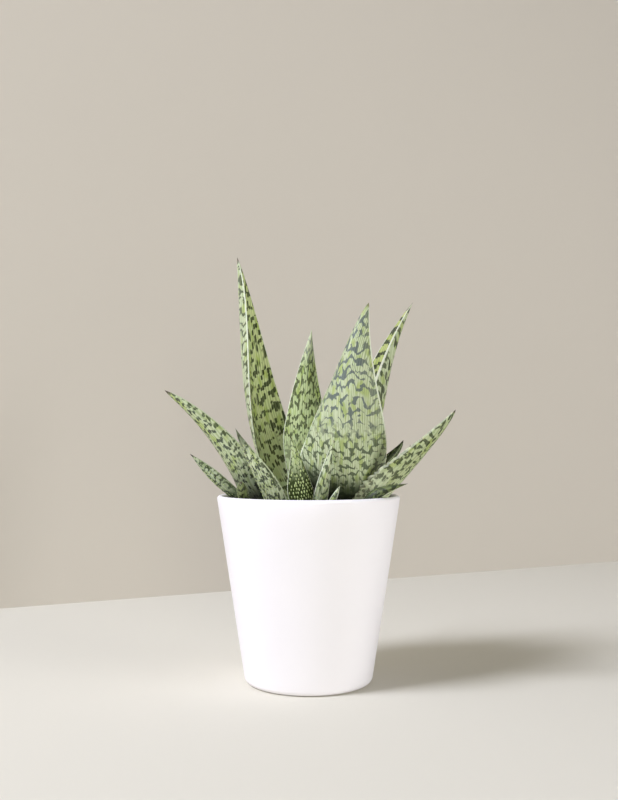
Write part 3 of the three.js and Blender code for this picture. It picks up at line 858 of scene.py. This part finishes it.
soilSize = dict(
    height=106, dome=1.5, sides=96, gapToPot=0.3,
    lumps=0.9, sunk=0.7, calmFrom=48, calmTo=54,  # the rough top evens out beside the pot
    grainSize=(0.5, 1.5), grainsPerCm2=38, seed=5)
soilRings = 24


def soilProfile():
    bottom = potSize["floor"] + soilSize["gapToPot"]
    inset = potSize["wall"] + 0.35  # the slanted wall takes a little more
    edge = potRadius(soilSize["height"]) - inset
    top = []
    for k in range(soilRings, -1, -1):  # level in the middle, sloping down beyond half way
        fall = soilSize["dome"] * max(0.0, k / (soilRings / 2) - 1)
        top.append((edge * k / soilRings, soilSize["height"] - fall))
    return [(0, bottom), (potRadius(bottom) - inset, bottom)] + top


def makeSoilMaterial():
    material, w, shader = newMaterial("pottingSoil")
    tone = w.attribute("grainTone", "Fac")
    clumps = w.noiseAt(w.objectPlace(), scale=260.0, detail=5.0, roughness=0.65)
    dark = w.mix(clumps, colour("1C150F"), colour("46372A"))
    light = w.mix(clumps, colour("6E5B46"), colour("A8977D"))
    w.put(w.mix(w.ramp(tone, 0.72, 0.98), dark, light), shader["Base Color"])
    w.put(0.8 + clumps * 0.18, shader["Roughness"])
    w.put(w.bump(clumps, 0.8, 0.0008), shader["Normal"])
    return material


def makeGrainTree():
    inputs = dict(
        geometry="Geometry", density=300000.0, smallest=0.5, largest=1.5, seed=1, material="Material")
    w, given, result = newTree("soilGrains", "GeometryNodeTree", inputs, {"geometry": "Geometry"})
    normalZ = w.split(w.geo("InputNormal"))[2]
    topFaces = w.calc("GREATER_THAN", normalZ, 0.4)
    points = w.geo("DistributePointsOnFaces", {
        "Mesh": given.geometry, "Selection": topFaces, "Density": given.density, "Seed": given.seed})
    lump = w.geo("MeshIcoSphere", {"Radius": 1.0, "Subdivisions": 1})
    spot = w.geo("InputPosition")
    dent = w.scaled(spot, (w.noiseAt(spot, scale=1.3) - 0.5) * 1.2)
    rough = w.geo("SetPosition", {"Geometry": lump, "Offset": dent})
    size = randomNodes(w, given.smallest, given.largest, given.seed) * mm
    squash = w.xyz(size, size * randomNodes(w, 0.6, 1.0, given.seed + 1), size * 0.7)
    spin = w.out("FunctionNodeRandomValue", {1: (6.28, 6.28, 6.28)}, data_type="FLOAT_VECTOR")
    grains = w.geo("InstanceOnPoints", {
        "Points": points, "Instance": rough, "Rotation": spin, "Scale": squash})
    tone = randomNodes(w, 0.0, 1.0, given.seed + 2)
    toned = storeNodes(w, grains, "grainTone", tone, "FLOAT", "INSTANCE")
    w.put(dressNodes(w, realNodes(w, toned), given.material), result["Geometry"])
    return w.tree


soilMaterial = makeSoilMaterial()
soilMesh = turnedMesh("soil_bed", soilProfile(), soilSize["sides"])
calmFrom, calmTo = soilSize["calmFrom"], soilSize["calmTo"]
for vertex in soilMesh.vertices:
    if vertex.co.z > (soilSize["height"] - soilSize["dome"] - 1) * mm:  # the top, not the bottom ring
        reach = math.hypot(vertex.co.x, vertex.co.y) / mm
        calm = max(0.0, min(1.0, (calmTo - reach) / (calmTo - calmFrom)))
        rough = noise.fractal(vertex.co * 140, 1.0, 2.0, 4)
        vertex.co.z += (rough * soilSize["lumps"] - soilSize["sunk"]) * mm * calm
addPiece("soil_bed", soilMesh, soilMaterial, "soil", "soil")
grains = grow("soil_grains", soilMesh.copy(), makeGrainTree(), dict(
    density=soilSize["grainsPerCm2"] * 100 ** 2, smallest=soilSize["grainSize"][0],
    largest=soilSize["grainSize"][1], seed=soilSize["seed"], material=soilMaterial))
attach(grains, body)
print("soil laid:", len(grains.data.polygons), "grain faces")


# Stems: short stumps ringed by the scars of older leaves

stemSizes = {
    "stem_main": dict(at=(8, 6), radius=8, top=112),
    "stem_left": dict(at=(-28, -9), radius=5.5, top=110),
    "stem_right": dict(at=(33, -3), radius=5.5, top=110),
    "stem_front": dict(at=(3, -35), radius=4.5, top=109),
}
stemDepth = 20  # how deep a stem stands in the soil
ringDepth = 0.04  # of the leaf scars, as a share of the radius
stemSteps, stemSides = 26, 40


def stemProfile(size):
    radius, top, foot = size["radius"], size["top"], soilSize["height"] - stemDepth
    shoulder = top - radius / 2
    side = []
    for k in range(stemSteps + 1):
        height = foot + (shoulder - foot) * k / stemSteps
        ring = 1 - ringDepth + ringDepth * abs(math.sin(height * 1.1))
        side.append((radius * ring, height))
    crown = [(radius * 0.7, top - radius / 6), (radius * 0.35, top - 0.2), (0, top)]
    return [(0, foot), (radius * 0.6, foot)] + side + crown


def makeStemMaterial():
    material, w, shader = newMaterial("stemSkin")
    place = w.objectPlace()
    height = w.split(place)[2]
    fibres = w.noiseAt(place, scale=420.0, detail=4.0)
    rings = w.calc("SINE", height * 2200.0 + fibres * 4.0)
    green = w.mix(fibres, colour("A8AE7C"), colour("7E8A52"))
    w.put(w.mix(w.ramp(rings, 0.5, 1.0, 0.0, 0.7), green, colour("6A5A3E")), shader["Base Color"])
    w.put(0.55 + fibres * 0.25, shader["Roughness"])
    w.put(w.bump(fibres + rings, 0.4, 0.0005), shader["Normal"])
    return material


stemMaterial = makeStemMaterial()
for name, size in stemSizes.items():
    mesh = turnedMesh(name, stemProfile(size), stemSides, size["at"], uneven=0.25)
    addPiece(name + "_stump", mesh, stemMaterial, "stem", name)
print("stems set:", len(stemSizes))


# Floor, backdrop, lights and camera

stageSize = dict(
    floorReach=4.0, floorTone="DCD8CA", wallTone="D0C9BD",
    wallStart=(-0.290, 0.251), wallEnd=(0.410, 0.597), wallHeight=3.0, wallReach=3.0)


def addStage(name, points, material):
    mesh = bpy.data.meshes.new(name)
    mesh.from_pydata(points, [], [range(len(points))])
    mesh.materials.append(material)
    board = bpy.data.objects.new(name, mesh)
    scene.collection.objects.link(board)


def makePaper(name, tone, seenFromBehind=True):
    material, w, shader = newMaterial(name)
    cloud = w.noiseAt(w.objectPlace(), scale=2.0, detail=2.0)
    plain = colour(tone)
    w.put(w.mix(cloud, plain, [c * 0.97 for c in plain[:3]] + [1.0]), shader["Base Color"])
    w.put(0.85 + cloud * 0.1, shader["Roughness"])
    if not seenFromBehind:
        front = Signal(w, w.tree.nodes["Principled BSDF"].outputs[0])
        back = w.out("ShaderNodeBsdfTransparent")
        isBack = w.out("ShaderNodeNewGeometry", output="Backfacing")
        both = w.out("ShaderNodeMixShader", {0: isBack, 1: front, 2: back})
        w.put(both, w.tree.nodes["Material Output"].inputs["Surface"])
    return material


reach = stageSize["floorReach"]
addStage("floor", [(x * reach, y * reach, 0) for x, y in ((-1, -1), (1, -1), (1, 1), (-1, 1))],
         makePaper("floorPaper", stageSize["floorTone"]))
wallA, wallB = Vector(stageSize["wallStart"]), Vector(stageSize["wallEnd"])
wallStep = (wallB - wallA).normalized() * stageSize["wallReach"]
ends = (wallA - wallStep, wallB + wallStep)
top = stageSize["wallHeight"]
addStage("backdrop", [(*ends[0], 0), (*ends[1], 0), (*ends[1], top), (*ends[0], top)],
         makePaper("wallPaper", stageSize["wallTone"], seenFromBehind=False))

lights = {
    "keyLight": dict(place=(-1.55, -0.87, 2.02), size=0.85, power=72.0, tone="ECEFFF"),
    "rightFill": dict(place=(1.7, -0.85, 0.22), size=0.9, power=19.5, tone="FAFAFF"),
    "frontFill": dict(place=(0.2, -1.9, 0.25), size=0.9, power=8.7, tone="FFFFF0"),
}
lightTarget = (0, 0, 0.12)  # all lights point here
for name, setup in lights.items():
    light = bpy.data.lights.new(name, "AREA")
    light.shape = "DISK"
    light.size = setup["size"]
    light.energy = setup["power"]
    light.color = colour(setup["tone"])[:3]
    lamp = bpy.data.objects.new(name, light)
    lamp.location = setup["place"]
    lamp.rotation_euler = (Vector(lightTarget) - lamp.location).to_track_quat("-Z", "Y").to_euler()
    scene.collection.objects.link(lamp)

# The room gives little light, but is seen as a pale backdrop from the other sides
worldLook = dict(tone="FFFDF5", light=0.12, seen=0.55)
world = bpy.data.worlds.new("studio")
world.use_nodes = True
w = Wiring(world.node_tree)
sky = world.node_tree.nodes["Background"].inputs
seen = w.out("ShaderNodeLightPath", output="Is Camera Ray")
sky["Color"].default_value = colour(worldLook["tone"])
w.put(worldLook["light"] + seen * (worldLook["seen"] - worldLook["light"]), sky["Strength"])
scene.world = world

cameraSetup = dict(place=(0.00027, -0.583, 0.1505), tiltUp=3.0, lens=40.0, sensorWidth=36.0)
camera = bpy.data.objects.new("camera", bpy.data.cameras.new("camera"))
camera.data.lens = cameraSetup["lens"]
camera.data.sensor_width = cameraSetup["sensorWidth"]
camera.data.clip_start = 0.01
camera.location = cameraSetup["place"]
camera.rotation_euler = (math.radians(90 + cameraSetup["tiltUp"]), 0.0, 0.0)
scene.collection.objects.link(camera)
scene.camera = camera
print("stage, lights and camera set")
